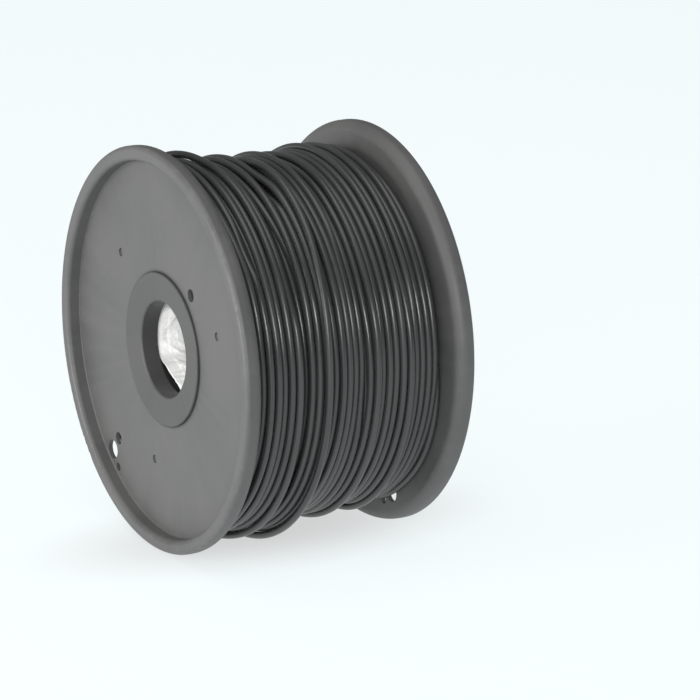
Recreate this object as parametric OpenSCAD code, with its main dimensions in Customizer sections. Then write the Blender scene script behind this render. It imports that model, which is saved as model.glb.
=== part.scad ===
// Wound filament spool. The spool axis lies along Y, the origin is the centre of the
// spool, +Z is up as it stands on its two rims. Millimetres.
//
// Each end is a flange moulding clamped between the core tube and a hub ring, whose
// sprung fingers reach through the flange and snap into windows in the core tube.

/* [Spool] */
// Outer diameter of both flanges
flange_d = 165; // [150:1:200]
// Width over the rims of both flanges
overall_w = 102.5; // [80:0.5:130]

/* [Flange] */
// Radial width of the raised rim
rim_w = 6; // [5.5:0.5:9]
// Axial thickness of the rim
rim_t = 7.9; // [7.2:0.1:11]
// Thickness of the web between rim and hub
web_t = 1.8; // [1.6:0.1:3]
// Rounding of the rim's outer corner
rim_round = 2; // [1:0.25:2.5]
// Rounding of the rim's corner on the winding side
rim_back_round = 4.2; // [1:0.1:4.5]
// Fillet where the rim meets the web
foot_fillet = 0.5; // [0.25:0.25:2]
// Turn of the rear flange about the spool axis, against a mirror image of the front one
rear_turn = -17; // [-180:1:180]

/* [Flange holes] */
// Diameter of the hole where the filament starts, just outside the core
start_hole_d = 5.2; // [3.5:0.1:6]
// Gap between the core's surface and the edge of the start hole
start_hole_gap = 2.2; // [1:0.1:4]
// Angle of the start hole, from +X towards +Z on the front flange
start_hole_angle = 49; // [0:1:359]
// Diameter of the large tie-off hole at the foot of the rim
tie_hole_d = 8; // [5:0.5:9]
// Diameter of the middle tie-off hole
mid_hole_d = 5.2; // [3.5:0.1:6]
// Diameter of the small tie-off hole
small_hole_d = 3.6; // [2:0.1:4]
// Gap between the rim's inner wall and the edges of the large and small tie-off holes
tie_hole_gap = 0.8; // [0.7:0.1:3]
// Distance between the centres of the large and the middle tie-off holes, radially
mid_hole_step = 8; // [7.2:0.1:12]
// Angle of the tie-off holes
tie_hole_angle = -131; // [-359:1:359]
// Angle between the large and the small tie-off holes
small_hole_turn = 6; // [5.5:0.5:20]

/* [Gate marks] */
// Number of moulding gate marks on the web
gate_count = 3; // [1:1:6]
// Radius of the circle that the gate marks lie on
gate_circle_r = 49; // [47:0.5:60]
// Diameter of a gate mark
gate_d = 3.5; // [2:0.25:4]
// Depth of a gate mark
gate_depth = 0.7; // [0.2:0.1:0.8]
// Angle of the first gate mark
gate_angle = 19.5; // [0:0.5:119]

/* [Core tube] */
// Outer diameter of the core tube
core_d = 64; // [58:0.1:80]
// Wall of the core tube
core_wall = 2.5; // [2:0.1:3.5]
// Number of locating dogs on each end of the core tube
dog_count = 3; // [2:1:6]
// Width of a locating dog
dog_w = 8; // [5:0.5:9]
// Radial thickness of a locating dog
dog_t = 1.4; // [1:0.1:1.6]

/* [Hub rings] */
// How far the boss overlaps the edge of the flange's centre hole
boss_overlap = 2; // [1.6:0.1:2.4]
// Height of the boss's edge above the web
boss_proud = 1.2; // [1.2:0.1:2]
// How far the boss's face falls from its edge to the bore
boss_dish = 0.9; // [0.2:0.1:1]
// Rounding of the boss's edge
boss_round = 0.6; // [0.2:0.1:0.6]
// Diameter of the bore
bore_d = 39; // [30:0.5:44]
// Length of the bore's lip
lip_len = 7.5; // [5:0.5:12]
// Wall of the bore's lip
lip_wall = 2.2; // [1.6:0.1:3]
// Rounding of the bore's edge
bore_round = 0.9; // [0.3:0.1:1.5]
// Thickness of the hub ring's plate at the boss's edge
plate_t = 2.4; // [2.2:0.1:3]
// Number of snap fingers
finger_count = 4; // [3:1:6]
// Angle that one snap finger spans
finger_span = 50; // [20:1:56]
// Wall of a snap finger
finger_wall = 1.8; // [1.4:0.1:2.2]
// Length of a snap finger under the flange
finger_len = 13; // [10:0.5:18]
// How far a snap hook stands out of its finger
hook_out = 1.3; // [0.8:0.1:1.8]
// Axial length of a snap hook
hook_len = 3; // [2:0.1:4]
// Width of a snap hook
hook_w = 10; // [6:0.5:12]
// Number of ribs between lip and fingers
rib_count = 8; // [4:1:12]
// Thickness of a rib
rib_t = 1.6; // [1.2:0.1:2.4]

/* [Winding] */
// Diameter of the filament
filament_d = 3; // [2.5:0.05:3.2]
// How far the winding's highest turns lie below the flange's edge
winding_below = 7.9; // [7:0.1:25]
// How much the winding's surface waves, from low to high
wave_h = 1.6; // [0:0.1:3]
// Length of one wave along the axis
wave_len = 17; // [10:0.5:40]
// How much lower the winding lies beside the flanges
edge_drop = 1.2; // [0:0.1:6]

/* [Drying pouch] */
// Free space between the front lip and the pouch
pouch_setback = 1.8; // [1:0.1:6]
// Free space between the pouch and the rear lip
pouch_rear_room = 13.1; // [1:0.1:20]
// Thickness of the pouch in the middle
pouch_t = 9.9; // [8:0.1:12]
// Angle that the pouch lies at, from level
pouch_tilt = -28.6; // [-45:0.1:45]
// Thickness of the part of the pouch that climbs the core's wall
pouch_wing_t = 3.4; // [3:0.1:5]
// Angle that this part climbs round the wall
pouch_wing_span = 45; // [20:1:90]
// Thickness of the pouch's film, as one ply of the solid
film_t = 0.7; // [0.5:0.1:1]
// Diameter of one drying bead
bead_d = 4; // [3:0.1:4.6]

/* [Clearances] */
// Radial gap between fingers and core, and between fingers and flange
finger_gap = 0.1; // [0.05:0.05:0.3]
// Gap between a dog or a hook and the edges of its notch or window
notch_gap = 0.2; // [0.1:0.05:0.5]
// Gap between the winding and the flanges and core
winding_gap = 0.1; // [0.05:0.05:0.5]
// Gap between the pouch and the snap fingers around it
pouch_gap = 0.5; // [0.3:0.1:1]
// Gap between neighbouring beads, and between the beads and the pouch's film
bead_gap = 0.3; // [0.2:0.05:0.6]

/* [Hidden] */

$fn = 96;
cut = 1;              // how far a cutting body reaches past the face it cuts
flange_r = flange_d / 2;
winding_r = flange_r - winding_below;
core_r = core_d / 2;
core_bore_r = core_r - core_wall;
boss_r = core_bore_r + boss_overlap;
bore_r = bore_d / 2;
half_w = overall_w / 2;

// Distances from the spool's middle plane, measured outwards
web_back = half_w - rim_t;
web_face = web_back + web_t;
boss_face = web_face + boss_proud;
plate_back = boss_face - plate_t;
bore_face = boss_face - boss_dish;
lip_end = bore_face - lip_len;
dog_end = web_face - notch_gap;

rim_in_r = flange_r - rim_w;
finger_r = core_bore_r - finger_gap;
hook_top = web_back - finger_len + hook_len;
finger_root = (plate_back + web_face) / 2;   // fingers and ribs end inside the plate
hook_slope = 0.6;     // height of the sloped end of a hook, as a share of its length

tie_hole_r = rim_in_r - tie_hole_gap - tie_hole_d / 2;
small_hole_r = rim_in_r - tie_hole_gap - small_hole_d / 2;
mid_hole_r = tie_hole_r - mid_hole_step;
start_hole_r = core_r + start_hole_gap + start_hole_d / 2;

// The outermost layer of the winding
wind_half = web_back - winding_gap;
turn_count = floor(2 * wind_half / filament_d);
turn_pitch = (2 * wind_half - filament_d) / (turn_count - 1);
edge_zone = 3 * filament_d;   // the layer sinks towards the flange over this width

pouch_r = finger_r - finger_wall - pouch_gap;
pouch_end = lip_end - pouch_setback;
pouch_len = 2 * lip_end - pouch_setback - pouch_rear_room;
pouch_offset = pouch_r - pouch_t;      // from the spool axis to the pouch's upper face
pouch_edge_angle = 180 + asin(pouch_offset / pouch_r);
wing_overlap = 4;     // degrees that the pouch's climbing part reaches into its body

bead_pitch = bead_d + bead_gap;
bead_rows = floor((pouch_len - 2 * film_t) / bead_pitch);
bead_top = -pouch_offset - film_t - bead_d / 2 - bead_gap;
bead_reach = pouch_r - film_t - bead_d / 2 - bead_gap;
bead_side = ceil(bead_reach / bead_pitch);

plastic = [0.36, 0.36, 0.355];
inner_plastic = [0.30, 0.30, 0.30];
filament_black = [0.12, 0.12, 0.125];
pouch_white = [0.88, 0.88, 0.87];
bead_clear = [0.85, 0.89, 0.93];

// Puts a piece made with its outer side up onto the front end, or onto the rear end
module front_end() rotate([90, 0, 0]) children();
module rear_end() rotate([0, -rear_turn, 0]) rotate([0, 0, 180]) rotate([90, 0, 0]) children();

// A flat ring sector, from one angle to another
module sector(r0, r1, z0, z1, a0, a1)
    translate([0, 0, z0]) rotate([0, 0, a0])
        rotate_extrude(angle = a1 - a0) translate([r0, 0]) square([r1 - r0, z1 - z0]);

// ---- Flange ----

module rim_outline() {
    // the raised rim with its rounded corners
    difference() {
        translate([rim_in_r, web_back]) square([rim_w, rim_t]);
        translate([flange_r - rim_round, half_w - rim_round]) square(rim_round + cut);
        translate([rim_in_r - cut, half_w - rim_round]) square([rim_round + cut, rim_round + cut]);
        translate([flange_r - rim_back_round, web_back - cut])
            square([rim_back_round + cut, rim_back_round + cut]);
    }
    translate([flange_r - rim_round, half_w - rim_round]) circle(rim_round);
    translate([rim_in_r + rim_round, half_w - rim_round]) circle(rim_round);
    intersection() {
        translate([flange_r - rim_back_round - cut, web_back])
            square(rim_back_round + cut);
        translate([flange_r - rim_back_round, web_back + rim_back_round]) circle(rim_back_round);
    }
}

module flange_outline() {
    rim_outline();
    translate([core_bore_r, web_back]) square([rim_in_r - core_bore_r + cut, web_t]);
    // fillet at the foot of the rim
    difference() {
        translate([rim_in_r - foot_fillet, web_face - cut])
            square([foot_fillet + cut, foot_fillet + cut]);
        translate([rim_in_r - foot_fillet, web_face + foot_fillet]) circle(foot_fillet);
    }
}

module through_web(r, angle, d)
    rotate([0, 0, angle]) translate([r, 0, web_back - cut]) cylinder(d = d, h = web_t + 2 * cut);

module flange_moulding() {
    difference() {
        rotate_extrude() flange_outline();
        through_web(start_hole_r, start_hole_angle, start_hole_d);
        through_web(tie_hole_r, tie_hole_angle, tie_hole_d);
        through_web(mid_hole_r, tie_hole_angle, mid_hole_d);
        through_web(small_hole_r, tie_hole_angle + small_hole_turn, small_hole_d);
        for (i = [0 : dog_count - 1])
            rotate([0, 0, i * 360 / dog_count])
                translate([core_bore_r - cut, -dog_w / 2 - notch_gap, web_back - cut])
                    cube([dog_t + notch_gap + cut, dog_w + 2 * notch_gap, web_t + 2 * cut]);
        for (i = [0 : gate_count - 1])
            rotate([0, 0, gate_angle + i * 360 / gate_count])
                translate([gate_circle_r, 0, web_face - gate_depth])
                    cylinder(d = gate_d, h = gate_depth + cut);
    }
}

module front_flange() color(plastic) front_end() flange_moulding();
module rear_flange() color(plastic) rear_end() flange_moulding();

// ---- Core tube ----

// What is cut from an end of the tube to leave its shoulder and the locating dogs
module core_end_cut()
    difference() {
        translate([0, 0, web_back]) cylinder(r = core_r + cut, h = web_t);
        intersection() {
            cylinder(r = core_bore_r + dog_t, h = half_w);
            for (i = [0 : dog_count - 1])
                rotate([0, 0, i * 360 / dog_count]) translate([0, -dog_w / 2, 0])
                    cube([core_r, dog_w, half_w]);
        }
    }

module core_windows() {
    for (i = [0 : finger_count - 1])
        rotate([0, 0, (i + 0.5) * 360 / finger_count])
            translate([core_bore_r - cut, -hook_w / 2 - notch_gap, hook_top - hook_len - notch_gap])
                cube([core_wall + 2 * cut, hook_w + 2 * notch_gap, hook_len + 2 * notch_gap]);
}

module core_tube() color(inner_plastic)
    difference() {
        rotate([90, 0, 0]) translate([0, 0, -dog_end]) difference() {
            cylinder(r = core_r, h = 2 * dog_end);
            translate([0, 0, -cut]) cylinder(r = core_bore_r, h = 2 * dog_end + 2 * cut);
        }
        front_end() core_end_cut();
        rear_end() core_end_cut();
        front_end() core_windows();
        rear_end() core_windows();
    }

// ---- Hub rings ----

module hub_ring_outline() {
    inner = bore_r + bore_round;
    // plate with its dished face, and the boss that overlaps the flange
    polygon([
        [inner, plate_back], [finger_r, plate_back], [finger_r, web_face], [boss_r, web_face],
        [boss_r, boss_face - boss_round], [boss_r - boss_round, boss_face],
        [inner, bore_face]]);
    translate([boss_r - boss_round, boss_face - boss_round]) circle(boss_round);
    // the bore's lip with its rounded edge
    translate([bore_r, lip_end]) square([lip_wall, lip_len - bore_round]);
    translate([inner, bore_face - bore_round]) circle(bore_round);
}

module snap_finger() {
    half = finger_span / 2;
    sector(finger_r - finger_wall, finger_r, hook_top - hook_len, finger_root, -half, half);
    // hook with a sloped leading end
    intersection() {
        rotate_extrude() polygon([
            [finger_r - finger_wall / 2, hook_top - hook_len],
            [finger_r, hook_top - hook_len],
            [finger_r + hook_out, hook_top - hook_len * (1 - hook_slope)],
            [finger_r + hook_out, hook_top],
            [finger_r - finger_wall / 2, hook_top]]);
        translate([0, -hook_w / 2, 0]) cube([core_d, hook_w, half_w]);
    }
}

module hub_ring() {
    rotate_extrude() hub_ring_outline();
    for (i = [0 : finger_count - 1])
        rotate([0, 0, (i + 0.5) * 360 / finger_count]) snap_finger();
    for (i = [0 : rib_count - 1])
        rotate([0, 0, (i + 0.5) * 360 / rib_count])
            translate([bore_r + lip_wall / 2, -rib_t / 2, lip_end])
                cube([finger_r - finger_wall / 2 - bore_r - lip_wall / 2, rib_t,
                      finger_root - lip_end]);
}

module front_hub_ring() color(plastic) front_end() hub_ring();
module rear_hub_ring() color(plastic) rear_end() hub_ring();

// ---- Winding ----

// Height of the outermost layer at a place along the axis
function turn_top(a) =
    winding_r - wave_h * (0.5 - 0.5 * cos(360 * a / wave_len))
    - edge_drop * pow(max(0, 1 - (wind_half - abs(a)) / edge_zone), 2);

// The solid pack, with the rounded backs of the outermost turns standing out of it
module filament_winding() color(filament_black)
    rotate([90, 0, 0]) rotate_extrude() {
        turns = [for (i = [0 : turn_count - 1]) -wind_half + filament_d / 2 + i * turn_pitch];
        polygon([
            [core_r + winding_gap, -wind_half],
            [turn_top(turns[0]) - filament_d / 2, -wind_half],
            for (a = turns) [turn_top(a) - filament_d / 2, a],
            [turn_top(turns[turn_count - 1]) - filament_d / 2, wind_half],
            [core_r + winding_gap, wind_half]]);
        for (a = turns)
            translate([turn_top(a) - filament_d / 2, a]) circle(d = filament_d, $fn = 32);
    }

// ---- Drying pouch and its beads ----

// Puts a cross-section drawn level into the hub, with its length along the spool axis
module pouch_place() rotate([90, 0, 0]) rotate([0, 0, pouch_tilt]) children();

module pouch_section(inset)
    intersection() {
        circle(pouch_r - inset);
        translate([-core_d, -core_d - pouch_offset - inset]) square([2 * core_d, core_d]);
    }

module pouch_wing_section()
    intersection() {
        difference() {
            circle(pouch_r);
            circle(pouch_r - pouch_wing_t);
        }
        rotate([0, 0, pouch_edge_angle - pouch_wing_span])
            polygon([[0, 0], [core_d, 0],
                     core_d * [cos(pouch_wing_span / 2), sin(pouch_wing_span / 2)],
                     core_d * [cos(pouch_wing_span + wing_overlap),
                               sin(pouch_wing_span + wing_overlap)]]);
    }

module sachet_pouch() color(pouch_white) pouch_place() difference() {
    translate([0, 0, pouch_end - pouch_len]) linear_extrude(pouch_len) {
        pouch_section(0);
        pouch_wing_section();
    }
    translate([0, 0, pouch_end - pouch_len + film_t]) linear_extrude(pouch_len - 2 * film_t)
        pouch_section(film_t);
}

module silica_beads() color(bead_clear) pouch_place()
    for (row = [0 : bead_rows - 1], layer = [0 : 2], i = [-bead_side : bead_side]) {
        u = i * bead_pitch;
        w = bead_top - layer * bead_pitch;
        if (norm([u, w]) <= bead_reach)
            translate([u, w, pouch_end - pouch_len / 2 + (row - (bead_rows - 1) / 2) * bead_pitch])
                sphere(d = bead_d, $fn = 24);
    }

front_flange();
rear_flange();
core_tube();
front_hub_ring();
rear_hub_ring();
filament_winding();
sachet_pouch();
silica_beads();
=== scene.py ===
import math

import bmesh
import bpy
import numpy as np
from mathutils import Matrix, Vector


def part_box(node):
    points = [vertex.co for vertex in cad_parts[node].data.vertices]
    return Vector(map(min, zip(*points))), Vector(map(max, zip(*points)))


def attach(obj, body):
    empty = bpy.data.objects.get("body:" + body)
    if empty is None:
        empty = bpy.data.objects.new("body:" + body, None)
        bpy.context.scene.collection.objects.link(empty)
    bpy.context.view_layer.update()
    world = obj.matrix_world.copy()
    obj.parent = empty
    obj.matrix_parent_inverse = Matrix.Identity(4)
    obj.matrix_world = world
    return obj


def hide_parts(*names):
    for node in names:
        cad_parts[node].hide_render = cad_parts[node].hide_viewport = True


# A wound filament spool on a pale studio floor. Metres, in the frame's own axes: the spool's axis
# lies along Y, its centre is the origin, +Z is up, and the front flange is the one on the -Y side.

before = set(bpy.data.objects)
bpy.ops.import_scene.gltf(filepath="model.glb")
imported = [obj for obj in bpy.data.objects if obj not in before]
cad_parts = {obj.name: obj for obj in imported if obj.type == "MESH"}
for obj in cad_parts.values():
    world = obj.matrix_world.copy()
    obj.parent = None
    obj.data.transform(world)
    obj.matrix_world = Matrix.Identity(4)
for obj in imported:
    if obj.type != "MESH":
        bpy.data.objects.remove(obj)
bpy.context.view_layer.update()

MM = 0.001
TURN = 2 * math.pi

# ---- Sizes taken from the frame ----

flange_low, flange_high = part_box("front_flange")
FLANGE_R = flange_high.z
HALF_WIDTH = -flange_low.y

winding_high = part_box("filament_winding")[1]
WINDING_R = winding_high.z
WINDING_HALF = winding_high.y
CORE_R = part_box("core_tube")[1].z
BOSS_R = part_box("front_hub_ring")[1].z

pouch_low, pouch_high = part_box("sachet_pouch")
POUCH_R = -pouch_low.z
POUCH_FRONT = pouch_low.y
POUCH_BACK = pouch_high.y


# ---- Mesh helpers ----

def grid_faces(rows, columns, wrap_rows=False, wrap_columns=False):
    """Quads between neighbouring points of a rows x columns grid, closed over its last row or column
    if asked."""
    r = np.arange(rows if wrap_rows else rows - 1)[:, None]
    c = np.arange(columns if wrap_columns else columns - 1)[None, :]
    r2 = (r + 1) % rows
    c2 = (c + 1) % columns
    corners = [r * columns + c, r * columns + c2, r2 * columns + c2, r2 * columns + c]
    return np.stack([np.broadcast_to(k, (r.size, c.size)) for k in corners], -1).reshape(-1, 4)


def mesh_piece(name, points, quads, triangles=None, uv=None, closed=True):
    """A smooth-shaded mesh from an array of points and arrays of corner indices. A closed one has its
    faces turned outwards."""
    mesh = bpy.data.meshes.new(name)
    triangles = np.zeros((0, 3), int) if triangles is None else triangles
    loops = np.concatenate([quads.ravel(), triangles.ravel()]).astype(np.int32)
    sizes = np.concatenate([np.full(len(quads), 4), np.full(len(triangles), 3)])
    starts = np.concatenate([[0], np.cumsum(sizes)[:-1]]).astype(np.int32)
    mesh.vertices.add(len(points))
    mesh.vertices.foreach_set("co", np.asarray(points, np.float32).ravel())
    mesh.loops.add(len(loops))
    mesh.loops.foreach_set("vertex_index", loops)
    mesh.polygons.add(len(sizes))
    mesh.polygons.foreach_set("loop_start", starts)
    mesh.polygons.foreach_set("use_smooth", np.ones(len(sizes), bool))
    if uv is not None:
        layer = mesh.uv_layers.new(name="length_and_round")
        layer.data.foreach_set("uv", np.asarray(uv, np.float32)[loops].ravel())
    mesh.update(calc_edges=True)
    mesh.validate()
    if closed:
        shell = bmesh.new()
        shell.from_mesh(mesh)
        bmesh.ops.recalc_face_normals(shell, faces=shell.faces)
        shell.to_mesh(mesh)
        shell.free()
    piece = bpy.data.objects.new(name, mesh)
    bpy.context.scene.collection.objects.link(piece)
    return piece


def smooth_noise(count, cell, seed):
    """Values from -1 to 1 along a line: random values every `cell` samples, joined by cosine curves."""
    rng = np.random.default_rng(seed)
    knots = rng.uniform(-1, 1, int(count / cell) + 3)
    at = np.arange(count) / cell
    low = at.astype(int)
    blend = 0.5 - 0.5 * np.cos(np.pi * (at - low))
    return knots[low] * (1 - blend) + knots[low + 1] * blend


# ---- The wound strand ----

STRAND_R = 1.5 * MM
STRAND_PITCH = 3.056 * MM
LAYER_TURNS = 28
PER_TURN = 200                  # samples of the strand's path in one turn
WAVE_H = 1.6 * MM               # the winding's surface swells and falls by this along the axis
WAVE_LENGTH = 17 * MM
EDGE_DROP = 1.2 * MM            # the layers sink by this beside the flanges
EDGE_ZONE = 9 * MM
LAYER_STEP = 2.8 * MM           # from one layer's top to the next
CELL = 0.15 * MM                # grain of the height map across the winding
RIDE_UP = 5                     # samples over which a strand rides up before a crossing
TURN_JOIN = 14                  # samples over which one turn's height runs into the next one's
STEP_OVER = 0.06                # turns that a strand takes to step over its neighbour
DIVE_TURNS = 0.12               # turns that a strand takes to come up out of the pack
PACK_ROUND = 120                # points of the pack's surface round the axis, and along it
PACK_ALONG = 90
UNDER_SIDES = 10                # sides of the second layer's strand, and of the outer one's
OUTER_SIDES = 14


def winding_profile(y):
    """Height of the outer layer's top: the winding's radius, less a cosine wave along the axis, less a
    parabola that falls away beside each flange."""
    wave = WAVE_H * (0.5 - 0.5 * np.cos(TURN * y / WAVE_LENGTH))
    edge = np.clip(1 - (WINDING_HALF - np.abs(y)) / EDGE_ZONE, 0, None) ** 2
    return WINDING_R - wave - EDGE_DROP * edge


def across_path(turns, direction, seed, wander, jumps):
    """Where the strand lies across the winding, sample by sample: an even helix from one flange to the
    other, plus a slow wander, plus a few jumps over a neighbour that fall back after about a turn."""
    count = turns * PER_TURN
    along = np.arange(count) / (count - 1)
    reach = WINDING_HALF - STRAND_R
    y = direction * (2 * along - 1) * reach
    y = y + wander * (0.65 * smooth_noise(count, PER_TURN * 0.9, seed)
                      + 0.35 * smooth_noise(count, PER_TURN * 0.31, seed + 1))
    rng = np.random.default_rng(seed + 2)
    at = np.arange(count) / PER_TURN
    for centre in np.sort(rng.uniform(1.5, turns - 1.5, jumps)):
        size = rng.uniform(1.4, 3.6) * STRAND_R * rng.choice([-1, 1])
        width = rng.uniform(0.35, 0.9)
        start = np.tanh((at - centre + width / 2) / STEP_OVER)
        end = np.tanh((at - centre - width / 2) / STEP_OVER)
        y = y + size * 0.5 * (start - end)
    return np.clip(y, -reach, reach)


def widen_and_smooth(values, reach):
    """Each value becomes the highest within reach samples, and then the mean over the same reach, so that a
    taut strand rides up before a crossing and comes down after it."""
    padded = np.pad(values, 2 * reach, mode="edge")
    windows = np.lib.stride_tricks.sliding_window_view(padded, 2 * reach + 1)
    highest = windows.max(-1)
    weights = np.hanning(2 * reach + 3)[1:-1]
    windows = np.lib.stride_tricks.sliding_window_view(highest, 2 * reach + 1)
    return windows @ (weights / weights.sum())


def lay_strand(height, y_cells, path):
    """Lays a strand on a height map turn by turn. At each sample the strand's centre rises until its round
    section just rests on what is there, and the map then takes the strand's own back."""
    centre = np.zeros(len(path))
    columns = np.arange(PER_TURN)
    for start in range(0, len(path), PER_TURN):
        y = path[start:start + PER_TURN]
        off = y_cells[:, None] - y[None, :]
        bulge = np.sqrt(np.clip(STRAND_R ** 2 - off ** 2, 0, None))
        under = np.abs(off) < STRAND_R
        rest = np.where(under, height[:, columns] + bulge, -1).max(0)
        rest = widen_and_smooth(rest, RIDE_UP)
        if start:
            fade = np.clip(np.arange(PER_TURN) / TURN_JOIN, 0, 1)
            rest = centre[start - 1] * (1 - fade) + rest * fade
        centre[start:start + PER_TURN] = rest
        covered = np.maximum(height[:, columns], rest + bulge)
        height[:, columns] = np.where(under, covered, height[:, columns])
    return centre


def strand_surface(name, y, centre, sides):
    """A round strand carried along the turns: at each sample a circle stands on the radial direction
    and the axis. Its ends close on one point each."""
    count = len(y)
    turn = TURN * np.arange(count) / PER_TURN
    out = np.stack([np.cos(turn), np.zeros(count), np.sin(turn)], -1)
    axis = np.array([0.0, 1.0, 0.0])
    middle = out * centre[:, None] + y[:, None] * axis
    round_angle = TURN * np.arange(sides) / sides
    ring = (np.cos(round_angle)[None, :, None] * out[:, None, :]
            + np.sin(round_angle)[None, :, None] * axis)
    points = (middle[:, None, :] + STRAND_R * ring).reshape(-1, 3)
    quads = grid_faces(count, sides, wrap_columns=True)[:, ::-1]
    first, last = len(points), len(points) + 1
    side = np.arange(sides)
    after = (side + 1) % sides
    base = (count - 1) * sides
    caps = np.concatenate([
        np.stack([np.full(sides, first), side, after], -1),
        np.stack([np.full(sides, last), base + after, base + side], -1)])
    points = np.concatenate([points, middle[:1], middle[-1:]])
    length = np.repeat(turn * WINDING_R, sides)
    uv = np.stack([length, np.tile(STRAND_R * round_angle, count)], -1)
    uv = np.concatenate([uv, [[0, 0], [length[-1], 0]]])
    return mesh_piece(name, points, quads, caps, uv)


def pack_surface(name, base):
    """The pack of deeper layers: a ring turned about the axis, from the core to just under the second
    layer."""
    y = np.linspace(-WINDING_HALF, WINDING_HALF, PACK_ALONG)
    top = np.interp(y, base[0], base[1])
    inner = CORE_R + 0.1 * MM
    profile = np.concatenate([np.stack([top, y], -1), [[inner, y[-1]], [inner, y[0]]]])
    turn = TURN * np.arange(PACK_ROUND) / PACK_ROUND
    points = np.stack([
        profile[None, :, 0] * np.cos(turn)[:, None],
        np.broadcast_to(profile[None, :, 1], (len(turn), len(profile))),
        profile[None, :, 0] * np.sin(turn)[:, None]], -1)
    quads = grid_faces(len(turn), len(profile), wrap_rows=True, wrap_columns=True)
    return mesh_piece(name, points.reshape(-1, 3), quads)


def make_winding():
    """The outermost two layers as one strand each, wound in opposite directions, over a plain dark pack.
    The height map's own level is arbitrary, so everything is lowered until the outer layer's tops lie on
    the winding's profile."""
    cells = np.arange(-WINDING_HALF, WINDING_HALF + CELL, CELL)
    base = winding_profile(cells) - 2 * LAYER_STEP
    height = np.repeat(base[:, None], PER_TURN, 1)
    under_path = across_path(LAYER_TURNS, -1, 11, 0.4 * MM, 1)
    under_centre = lay_strand(height, cells, under_path)
    outer_path = across_path(LAYER_TURNS, 1, 23, 0.75 * MM, 5)
    outer_centre = lay_strand(height, cells, outer_path)
    drop = np.median(outer_centre + STRAND_R - winding_profile(outer_path))

    # the strand comes up out of the pack where a layer starts, and dives back into it at its end
    sample = np.arange(len(outer_path))
    from_end = np.minimum(sample, len(outer_path) - 1 - sample) / PER_TURN
    dive = 3.2 * STRAND_R * np.clip(1 - from_end / DIVE_TURNS, 0, 1) ** 2
    pack = pack_surface("winding_pack", (cells, base - drop))
    under_centre = under_centre - drop - 0.5 * dive
    under = strand_surface("winding_second_layer", under_path, under_centre, UNDER_SIDES)
    outer_centre = outer_centre - drop - dive
    outer = strand_surface("winding_outer_layer", outer_path, outer_centre, OUTER_SIDES)
    return pack, under, outer


# ---- The drying pouch and its beads ----

POUCH_TILT = math.radians(-28.6)
POUCH_FACE = 17.2 * MM          # from the spool's axis down to the pouch's upper face
WING_INNER_R = 23.7 * MM        # inner side of the part that climbs the core's wall
WING_SPAN = math.radians(45)
SEAM = 5 * MM                   # width of the welded seam at each end
SEAM_T = 0.7 * MM
SHOULDER = 9 * MM               # the pouch swells to its full thickness over this length
ACROSS = 210                    # samples of each sheet across the pouch, and along it
ALONG = 230
FOLD = 9                        # samples over which the sheets part beside a side fold

BEAD_R = 2 * MM
BEAD_PITCH = 4.3 * MM
BEAD_TOP = 1 * MM               # from the pouch's upper face down to the beads
BEAD_SIDES = 8                  # faces round a bead, and rings of points between its poles
BEAD_RINGS = 5


def creases(u, v, seed, count, shortest, longest):
    """Folds of a crumpled film: the mean of `count` folded cosine waves in random directions, each bent
    by a slow sine. 1 - |cos| cubed is flat over the panels and rises to a sharp ridge, from 0 to 1."""
    rng = np.random.default_rng(seed)
    total = np.zeros(np.broadcast(u, v).shape)
    for _ in range(count):
        heading = rng.uniform(0, math.pi)
        wavelength = rng.uniform(shortest, longest)
        along = u * math.cos(heading) + v * math.sin(heading)
        across = u * math.sin(heading) - v * math.cos(heading)
        bend = 0.25 * wavelength * np.sin(4 * across / wavelength + rng.uniform(0, TURN))
        phase = (along + bend) * math.pi / wavelength + rng.uniform(0, TURN)
        total += (1 - np.abs(np.cos(phase))) ** 3
    return total / count


def pouch_sheets():
    """The pouch's level cross-section as two sheets from its right edge to the tip of its climbing part,
    each as ACROSS points (u, w). The inner one runs along the flat face and up an arc; the outer one is
    one arc on the core's wall. Both are sampled evenly by the angle about the spool's axis, so equal
    samples face each other."""
    right = -math.asin(POUCH_FACE / POUCH_R)
    tip = -math.pi - right - WING_SPAN
    angle = np.linspace(right, tip, ACROSS)
    outer = POUCH_R * np.stack([np.cos(angle), np.sin(angle)], -1)
    to_face = POUCH_FACE / np.clip(-np.sin(angle), 0.05, None)
    climbing = angle < -math.pi / 2
    reach = np.where(climbing, np.minimum(to_face, WING_INNER_R), to_face)
    soft = widen_and_smooth(reach, 6)
    reach = np.where(climbing, soft, reach)
    # both edges of the pouch are folds, where the sheets meet
    from_fold = np.minimum(np.arange(ACROSS), np.arange(ACROSS)[::-1])
    close = np.sqrt(np.clip(from_fold / FOLD, 0, 1))
    reach = POUCH_R - (POUCH_R - reach) * close
    inner = reach[:, None] * np.stack([np.cos(angle), np.sin(angle)], -1)
    return inner, outer


def swelling(y):
    """Share of the pouch's full thickness along its length: 0 over the welded seams, then a quarter of
    an ellipse up to 1."""
    from_end = np.minimum(y - POUCH_FRONT, POUCH_BACK - y)
    rise = np.clip((from_end - SEAM) / SHOULDER, 0, 1)
    return np.sqrt(1 - (1 - rise) ** 2)


def into_hub(u, y, w):
    """Turns points of the level cross-section about the spool's axis to where the pouch lies."""
    c, s = math.cos(POUCH_TILT), math.sin(POUCH_TILT)
    return np.stack([u * c - w * s, np.broadcast_to(y, u.shape), u * s + w * c], -1)


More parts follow.
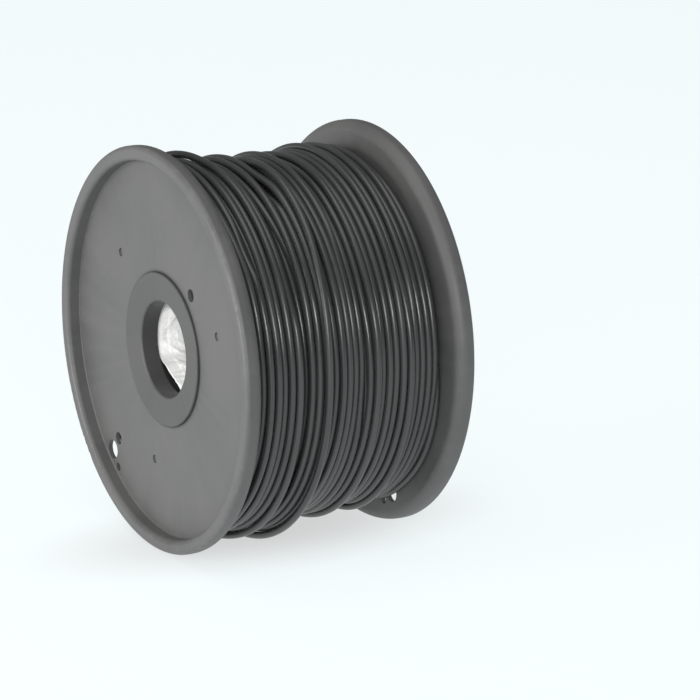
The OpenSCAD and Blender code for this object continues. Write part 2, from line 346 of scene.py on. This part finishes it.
def make_pouch():
    """A crumpled pouch of two sheets. The inner sheet is the cross-section's inner line, raised into
    creases; the outer sheet lies at the swelling's share of the way to the outer line, and never nearer
    than the welded seam is thick. The sheets meet at both side folds, and a strip between them closes
    each end."""
    inner, outer = pouch_sheets()
    y = np.linspace(POUCH_FRONT, POUCH_BACK, ALONG)[:, None]
    run = np.concatenate([[0], np.cumsum(np.hypot(*np.diff(inner, axis=0).T))])[None, :]
    between = outer - inner
    gap = np.hypot(between[:, 0], between[:, 1])
    side = np.clip(gap / (3 * MM), 0, 1)
    full = swelling(y)
    share = np.maximum(full, np.clip(SEAM_T / np.maximum(gap, 1e-6), 0, 1))

    # creases lift the inner sheet, and ripples along the seams move both sheets together
    broad = 2.6 * creases(y, run, 5, 6, 9 * MM, 22 * MM)
    small = 0.7 * creases(y, run, 9, 7, 2.5 * MM, 7 * MM)
    lift = (broad + small) * MM * (0.35 + 0.65 * full) * side
    ripple = 1.3 * MM * creases(0 * y, run, 14, 3, 9 * MM, 15 * MM) * (1 - full) * side
    inward = -between / np.maximum(gap, 1e-6)[:, None]
    inner_u = inner[:, 0] + (lift - ripple) * inward[:, 0]
    inner_w = inner[:, 1] + (lift - ripple) * inward[:, 1]
    dent = 0.5 * MM * creases(y, run, 21, 5, 6 * MM, 16 * MM) * full * side
    outer_u = inner_u * (1 - share) + outer[:, 0] * share + dent * inward[:, 0]
    outer_w = inner_w * (1 - share) + outer[:, 1] * share + dent * inward[:, 1]

    upper = into_hub(inner_u, y, inner_w)
    lower = into_hub(outer_u, y, outer_w)[:, -2:0:-1]
    points = np.concatenate([upper, lower], 1)
    around = points.shape[1]
    quads = grid_faces(ALONG, around, wrap_columns=True)
    i = np.arange(1, ACROSS - 2)
    strip = np.stack([i, i + 1, around - i - 1, around - i], -1)
    edges = np.array([[0, 1, around - 1], [ACROSS - 2, ACROSS - 1, ACROSS]])
    last = (ALONG - 1) * around
    quads = np.concatenate([quads, strip, strip[:, ::-1] + last])
    triangles = np.concatenate([edges, edges[:, ::-1] + last])
    run_round = np.concatenate([run[0], run[0, -2:0:-1]])
    shape = points.shape[:2]
    uv = np.stack([np.broadcast_to(y, shape), np.broadcast_to(run_round, shape)], -1)
    return mesh_piece("drying_pouch", points.reshape(-1, 3), quads, triangles, uv.reshape(-1, 2))


def make_beads():
    """One layer of round beads on a square grid inside the swollen part of the pouch: every bead is a small
    latitude and longitude sphere, moved to its place."""
    level = -POUCH_FACE - BEAD_TOP - BEAD_R
    rows = int((POUCH_BACK - POUCH_FRONT - 2 * SEAM - 1.1 * SHOULDER) / BEAD_PITCH)
    along = (POUCH_FRONT + POUCH_BACK) / 2 + (np.arange(rows) - (rows - 1) / 2) * BEAD_PITCH
    across = np.arange(-3, 4) * BEAD_PITCH
    u, y = [g.ravel() for g in np.meshgrid(across, along)]
    centres = into_hub(u, y, np.full(len(u), level))
    latitude = np.linspace(-math.pi / 2, math.pi / 2, BEAD_RINGS + 2)[1:-1, None]
    longitude = (TURN * np.arange(BEAD_SIDES) / BEAD_SIDES)[None, :]
    ball = np.stack([np.cos(latitude) * np.cos(longitude), np.cos(latitude) * np.sin(longitude),
                     np.sin(latitude) * np.ones_like(longitude)], -1).reshape(-1, 3)
    quads = grid_faces(BEAD_RINGS, BEAD_SIDES, wrap_columns=True)
    side = np.arange(BEAD_SIDES)
    after = (side + 1) % BEAD_SIDES
    low_pole, high_pole = len(ball), len(ball) + 1
    top_ring = len(ball) - BEAD_SIDES
    caps = np.concatenate([
        np.stack([np.full(BEAD_SIDES, low_pole), after, side], -1),
        np.stack([np.full(BEAD_SIDES, high_pole), top_ring + side, top_ring + after], -1)])
    ball = np.concatenate([ball, [[0, 0, -1], [0, 0, 1]]])
    first = (np.arange(len(centres)) * len(ball))[:, None, None]
    points = (centres[:, None, :] + BEAD_R * ball[None]).reshape(-1, 3)
    quads = (quads[None] + first).reshape(-1, 4)
    caps = (caps[None] + first).reshape(-1, 3)
    return mesh_piece("drying_beads", points, quads, caps)


# ---- Materials ----

class Nodes:
    """A short way to add and link the nodes of one material."""

    def __init__(self, name):
        self.material = bpy.data.materials.new(name)
        self.material.use_nodes = True
        self.tree = self.material.node_tree
        self.shader = self.tree.nodes["Principled BSDF"]

    def add(self, kind, inputs=None, **settings):
        node = self.tree.nodes.new(kind)
        for key, value in settings.items():
            setattr(node, key, value)
        for key, value in (inputs or {}).items():
            self.put(node, key, value)
        return node

    def put(self, node, key, value):
        if isinstance(value, bpy.types.NodeSocket):
            self.tree.links.new(value, node.inputs[key])
        else:
            node.inputs[key].default_value = value

    def math(self, operation, a, b=0.0):
        return self.add("ShaderNodeMath", {0: a, 1: b}, operation=operation).outputs[0]

    def stretch(self, vector, scale, turn=(0.0, 0.0, 0.0)):
        """Turned coordinates, each axis scaled: a pattern on them is fine along a large scale."""
        return self.add("ShaderNodeMapping", {0: vector, "Rotation": turn, "Scale": scale}).outputs[0]

    def noise(self, vector, scale, detail=2.0, rough=0.5):
        node = self.add("ShaderNodeTexNoise", {"Vector": vector, "Scale": scale, "Detail": detail,
                                               "Roughness": rough})
        return node.outputs["Fac"]

    def span(self, value, low, high, to_low=0.0, to_high=1.0):
        """The value's way from low to high as a smooth step from to_low to to_high."""
        node = self.add("ShaderNodeMapRange", {"Value": value, "From Min": low, "From Max": high,
                                               "To Min": to_low, "To Max": to_high})
        node.interpolation_type = "SMOOTHSTEP"
        return node.outputs["Result"]

    def tint(self, factor, a, b):
        """Colour a where the factor is 0, and colour b where it is 1."""
        node = self.add("ShaderNodeMix", data_type="RGBA", blend_type="MIX")
        sockets = {s.identifier: s for s in node.inputs}
        for key, value in (("Factor_Float", factor), ("A_Color", a), ("B_Color", b)):
            if isinstance(value, bpy.types.NodeSocket):
                self.tree.links.new(value, sockets[key])
            else:
                sockets[key].default_value = value
        return {s.identifier: s for s in node.outputs}["Result_Color"]

    def bump(self, height, distance, strength=1.0, normal=None):
        node = self.add("ShaderNodeBump", {"Height": height, "Distance": distance, "Strength": strength})
        if normal is not None:
            self.tree.links.new(normal, node.inputs["Normal"])
        return node.outputs["Normal"]


def grey(value, warm=0.0):
    """A grey, a little redder than neutral where warm is above 0."""
    return (value * (1 + warm), value, value * (1 - warm), 1.0)


def moulded_plastic(name, tone, gloss, grain=0.00006, wear=0.5):
    """Injection-moulded plastic: a fine spark-eroded grain, faint flow lines that run out from the hub,
    broad cloudiness, hair scratches, painted shade in a ring round the edge of the hub's bosses, and
    paler rubbed corners at the rim."""
    n = Nodes(name)
    place = n.add("ShaderNodeTexCoord").outputs["Object"]
    axes = n.add("ShaderNodeSeparateXYZ", {0: place})
    x, y, z = axes.outputs
    radius = n.math("SQRT", n.math("ADD", n.math("MULTIPLY", x, x), n.math("MULTIPLY", z, z)))
    angle = n.math("ARCTAN2", z, x)
    polar = n.add("ShaderNodeCombineXYZ", {
        0: n.math("MULTIPLY", radius, 6.0),
        1: n.math("MULTIPLY", angle, 5.0),
        2: n.math("MULTIPLY", y, 20.0)}).outputs[0]
    flow = n.noise(polar, 3.0, 4.0, 0.6)
    cloud = n.noise(place, 26.0, 3.0, 0.55)
    fine = n.noise(place, 2600.0, 2.0, 0.6)
    hairs = n.stretch(place, (9.0, 420.0, 420.0), (0.3, 0.7, 0.5))
    scratch = n.span(n.noise(hairs, 1.6, 3.0, 0.55), 0.70, 0.76)
    rim_top = n.span(n.math("ABSOLUTE", y), HALF_WIDTH - 1.6 * MM, HALF_WIDTH - 0.1 * MM)
    rim_side = n.span(radius, FLANGE_R - 1.4 * MM, FLANGE_R - 0.1 * MM)
    patchy = n.span(n.noise(place, 240.0, 4.0, 0.65), 0.42, 0.7)
    rubbed = n.math("MULTIPLY", n.math("MULTIPLY", rim_top, rim_side), patchy)
    # painted shade: a ring darkened on both sides of the boss's edge, where the step between boss and web
    # falls into shade
    boss_side = n.span(radius, BOSS_R - 0.9 * MM, BOSS_R)
    web_side = n.span(radius, BOSS_R, BOSS_R + 1.3 * MM, 1.0, 0.0)
    painted_seam_shade = n.math("MULTIPLY", boss_side, web_side)
    colour = n.tint(n.span(cloud, 0.3, 0.7), grey(tone * 0.90, 0.004), grey(tone * 1.10, 0.012))
    colour = n.tint(n.math("MULTIPLY", n.span(flow, 0.35, 0.75), 0.35), colour, grey(tone * 1.28, 0.008))
    colour = n.tint(n.math("MULTIPLY", scratch, 0.10), colour, grey(tone * 2.2))
    colour = n.tint(n.math("MULTIPLY", rubbed, wear), colour, grey(tone * 2.0))
    colour = n.tint(n.math("MULTIPLY", painted_seam_shade, 0.6), colour, grey(tone * 0.35))
    rough = n.span(cloud, 0.25, 0.75, gloss - 0.05, gloss + 0.05)
    rough = n.math("ADD", rough, n.math("MULTIPLY", n.span(flow, 0.3, 0.7), 0.05))
    rough = n.math("ADD", rough, n.math("MULTIPLY", scratch, 0.08))
    n.put(n.shader, "Base Color", colour)
    n.put(n.shader, "Roughness", rough)
    n.put(n.shader, "IOR", 1.52)
    height = n.math("SUBTRACT", fine, n.math("MULTIPLY", scratch, 0.8))
    soft = n.bump(flow, 0.0004, 0.35)
    n.put(n.shader, "Normal", n.bump(height, grain, 0.6, soft))
    return n.material


def strand_material(name, tone, gloss):
    """Extruded black filament: glossy, with fine lines drawn along its length by the die, slow changes
    of gloss, and a little dust."""
    n = Nodes(name)
    lengthwise = n.add("ShaderNodeUVMap", uv_map="length_and_round").outputs[0]
    place = n.add("ShaderNodeTexCoord").outputs["Object"]
    lines = n.noise(n.stretch(lengthwise, (14.0, 1700.0, 1.0)), 1.0, 3.0, 0.6)
    slow = n.noise(n.stretch(lengthwise, (22.0, 60.0, 1.0)), 1.0, 2.0, 0.5)
    dust = n.span(n.noise(place, 1500.0, 3.0, 0.7), 0.66, 0.74)
    colour = n.tint(n.span(slow, 0.3, 0.7), grey(tone * 0.85, -0.02), grey(tone * 1.25, -0.01))
    colour = n.tint(n.math("MULTIPLY", dust, 0.06), colour, grey(0.35, 0.02))
    rough = n.span(slow, 0.25, 0.75, gloss - 0.05, gloss + 0.07)
    n.put(n.shader, "Base Color", colour)
    n.put(n.shader, "Roughness", n.math("ADD", rough, n.math("MULTIPLY", dust, 0.2)))
    n.put(n.shader, "IOR", 1.54)
    n.put(n.shader, "Normal", n.bump(lines, 0.00004, 0.5))
    return n.material


def pack_material(name):
    """The deeper layers as seen between strands, in shade: the black filament painted as a lighter grey,
    which is painted fill light in the gaps, ribbed at the strand's pitch with painted shade in the ribs'
    grooves.
    """
    n = Nodes(name)
    place = n.add("ShaderNodeTexCoord").outputs["Object"]
    y = n.add("ShaderNodeSeparateXYZ", {0: place}).outputs[1]
    rib_height_and_painted_shade = n.math("ABSOLUTE", n.math("SINE", n.math("MULTIPLY", y, math.pi / STRAND_PITCH)))
    uneven = n.noise(place, 300.0, 3.0, 0.6)
    # painted light: greys above the filament's own tone lift the shaded gaps, and the ribs' grooves are
    # painted darker than their crests as painted shade
    n.put(n.shader, "Base Color", n.tint(n.math("MULTIPLY", rib_height_and_painted_shade, uneven), grey(0.07), grey(0.12)))
    n.put(n.shader, "Roughness", n.span(uneven, 0.3, 0.7, 0.35, 0.6))
    n.put(n.shader, "Normal", n.bump(rib_height_and_painted_shade, 0.0008, 1.0))
    return n.material


def pouch_material(name):
    """White bonded-fibre film: cloudy with short flat fibres, soft and slightly see-through."""
    n = Nodes(name)
    place = n.add("ShaderNodeTexCoord").outputs["Object"]
    one_way = n.noise(n.stretch(place, (260.0, 2600.0, 2600.0), (0.4, 0.2, 0.8)), 1.0, 3.0, 0.6)
    other_way = n.noise(n.stretch(place, (2400.0, 300.0, 2400.0), (1.1, 0.9, 0.1)), 1.0, 3.0, 0.6)
    fibre = n.math("MAXIMUM", one_way, other_way)
    cloud = n.noise(place, 160.0, 4.0, 0.6)
    colour = n.tint(n.span(cloud, 0.3, 0.7), (0.56, 0.56, 0.55, 1), (0.68, 0.68, 0.67, 1))
    strong = n.math("MULTIPLY", n.span(fibre, 0.55, 0.75), 0.35)
    colour = n.tint(strong, colour, (0.78, 0.78, 0.77, 1))
    n.put(n.shader, "Base Color", colour)
    n.put(n.shader, "Roughness", n.span(fibre, 0.4, 0.7, 0.5, 0.7))
    n.put(n.shader, "Subsurface Weight", 0.15)
    n.put(n.shader, "Subsurface Radius", (0.0012, 0.0012, 0.0012))
    n.put(n.shader, "Sheen Weight", 0.1)
    n.put(n.shader, "Normal", n.bump(fibre, 0.00012, 0.5))
    return n.material


def bead_material(name):
    """Clear drying beads with slightly frosted, uneven skins."""
    n = Nodes(name)
    place = n.add("ShaderNodeTexCoord").outputs["Object"]
    uneven = n.noise(place, 900.0, 3.0, 0.6)
    colour = n.tint(n.span(uneven, 0.3, 0.7), (0.78, 0.83, 0.86, 1), (0.93, 0.96, 0.98, 1))
    n.put(n.shader, "Base Color", colour)
    n.put(n.shader, "Roughness", n.span(uneven, 0.3, 0.7, 0.12, 0.3))
    n.put(n.shader, "Transmission Weight", 0.6)
    n.put(n.shader, "IOR", 1.45)
    return n.material


def floor_material(name):
    """A pale studio sheet that glows evenly, except right under the spool, where its glow is dimmed
    as a painted shadow that stays faint."""
    n = Nodes(name)
    place = n.add("ShaderNodeTexCoord").outputs["Object"]
    # painted shadow: the floor's glow is dimmer towards the spool's foot
    across = n.stretch(place, (1 / PAINTED_SHADOW_REACH_X, 1 / PAINTED_SHADOW_REACH_Y, 0))
    away = n.add("ShaderNodeVectorMath", {0: across}, operation="LENGTH").outputs["Value"]
    glow_with_painted_shadow = n.tint(n.span(away, 0.15, 1.0), (0.62, 0.63, 0.63, 1), (0.83, 0.885, 0.89, 1))
    colour = n.tint(n.noise(place, 3.0, 3.0, 0.5), (0.12, 0.125, 0.125, 1), (0.13, 0.135, 0.135, 1))
    n.put(n.shader, "Base Color", colour)
    n.put(n.shader, "Roughness", 0.7)
    n.put(n.shader, "Specular IOR Level", 0.1)
    n.put(n.shader, "Emission Color", glow_with_painted_shadow)
    n.put(n.shader, "Emission Strength", 1.0)
    return n.material


def dress(piece, material):
    piece.data.materials.clear()
    piece.data.materials.append(material)


# ---- Camera, floor and light ----

VIEW_AZIMUTH = 60.7             # degrees, 0 looks along +Y
VIEW_ELEVATION = 15.58
VIEW_DISTANCE = 1.793
LENS = 227.8                    # mm on a 36 mm sensor
STAND_RIGHT = 0.0352            # the camera stands this far to the right of the spool's centre
STAND_DOWN = 0.0062             # and this far below the line through it

PAINTED_SHADOW_REACH_X = 58 * MM       # the floor's glow is dimmed under the spool as a painted shadow, out to this far beside it and along its axis
PAINTED_SHADOW_REACH_Y = 120 * MM      # and along its axis
FLOOR_SIDES = 96
FLOOR_RINGS = (0.3, 1.0, 3.0, 9.0, 30.0)


def direction(azimuth, elevation):
    """The unit vector from the spool's centre that far round it and up, in degrees."""
    a, e = math.radians(azimuth), math.radians(elevation)
    return Vector((math.sin(a) * math.cos(e), -math.cos(a) * math.cos(e), math.sin(e)))


def make_camera():
    toward = direction(VIEW_AZIMUTH, VIEW_ELEVATION)
    a = math.radians(VIEW_AZIMUTH)
    right = Vector((math.cos(a), math.sin(a), 0))
    up = right.cross(-toward)
    data = bpy.data.cameras.new("camera")
    data.lens = LENS
    data.sensor_width = 36
    data.clip_start, data.clip_end = 0.01, 100
    camera = bpy.data.objects.new("camera", data)
    place = toward * VIEW_DISTANCE + right * STAND_RIGHT - up * STAND_DOWN
    turned = Matrix((right, up, toward)).transposed().to_4x4()
    camera.matrix_world = Matrix.Translation(place) @ turned
    bpy.context.scene.collection.objects.link(camera)
    bpy.context.scene.camera = camera


def make_floor():
    """A flat disc under the spool, level with the lowest point of its rims: rings of points round a
    middle one."""
    turn = TURN * np.arange(FLOOR_SIDES) / FLOOR_SIDES
    rings = np.array(FLOOR_RINGS)[:, None]
    level = np.full((len(rings), FLOOR_SIDES), -FLANGE_R)
    points = np.stack([rings * np.cos(turn), rings * np.sin(turn), level], -1).reshape(-1, 3)
    quads = grid_faces(len(rings), FLOOR_SIDES, wrap_columns=True)[:, ::-1]
    side = np.arange(FLOOR_SIDES)
    middle = np.stack([np.full(FLOOR_SIDES, len(points)), side, (side + 1) % FLOOR_SIDES], -1)
    points = np.concatenate([points, [[0, 0, -FLANGE_R]]])
    floor = mesh_piece("floor", points, quads, middle, closed=False)
    dress(floor, floor_material("studio_floor_painted_shadow"))


def soft_box(name, azimuth, elevation, distance, width, height, power, colour=(1, 1, 1), only=()):
    """A rectangular soft light that faces the spool from the given direction. It lights everything, or
    only the pieces named in `only`."""
    data = bpy.data.lights.new(name, "AREA")
    data.shape = "RECTANGLE"
    data.size = width
    data.size_y = height
    data.energy = power
    data.color = colour
    lamp = bpy.data.objects.new(name, data)
    toward = direction(azimuth, elevation)
    lamp.location = toward * distance
    lamp.rotation_mode = "QUATERNION"
    lamp.rotation_quaternion = toward.to_track_quat("Z", "Y")
    lamp.visible_camera = False
    bpy.context.scene.collection.objects.link(lamp)
    if only:
        glow_with_painted_shadow = bpy.data.collections.new(name + "_lights")
        for piece in only:
            glow_with_painted_shadow.objects.link(piece)
        lamp.light_linking.receiver_collection = glow_with_painted_shadow


def make_light():
    world = bpy.data.worlds.new("studio")
    world.use_nodes = True
    back = world.node_tree.nodes["Background"]
    back.inputs["Color"].default_value = (0.97, 0.99, 1.0, 1)
    back.inputs["Strength"].default_value = 0.22
    bpy.context.scene.world = world
    soft_box("overhead", 20, 76, 1.6, 1.5, 1.5, 12)
    soft_box("front_key", -5, 9, 1.6, 0.7, 0.7, 20, (1.0, 0.99, 0.965))
    soft_box("camera_side", 60, 19, 1.8, 0.7, 0.3, 15)


bpy.context.scene.view_settings.view_transform = "Standard"
make_camera()
make_floor()
make_light()

flange_plastic = moulded_plastic("flange_plastic", 0.09, 0.48)
hub_plastic = moulded_plastic("hub_plastic", 0.062, 0.46, wear=0.0)
core_plastic = moulded_plastic("core_plastic", 0.06, 0.5, wear=0.0)
for node in ("front_flange", "rear_flange"):
    dress(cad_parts[node], flange_plastic)
for node in ("front_hub_ring", "rear_hub_ring"):
    dress(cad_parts[node], hub_plastic)
dress(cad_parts["core_tube"], core_plastic)

pack, under, outer = make_winding()
dress(pack, pack_material("deep_winding_painted_lighter"))
filament = strand_material("black_filament", 0.038, 0.28)
for piece in (under, outer):
    dress(piece, filament)
for piece in (pack, under, outer):
    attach(piece, "spool")
    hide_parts("filament_winding")

pouch = make_pouch()
dress(pouch, pouch_material("pouch_film"))
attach(pouch, "sachet")
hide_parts("sachet_pouch")

beads = make_beads()
dress(beads, bead_material("drying_beads"))
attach(beads, "sachet")
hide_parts("silica_beads")

soft_box("hub_lamp", 57, 17, 1.5, 0.3, 0.3, 21, only=(pouch,))
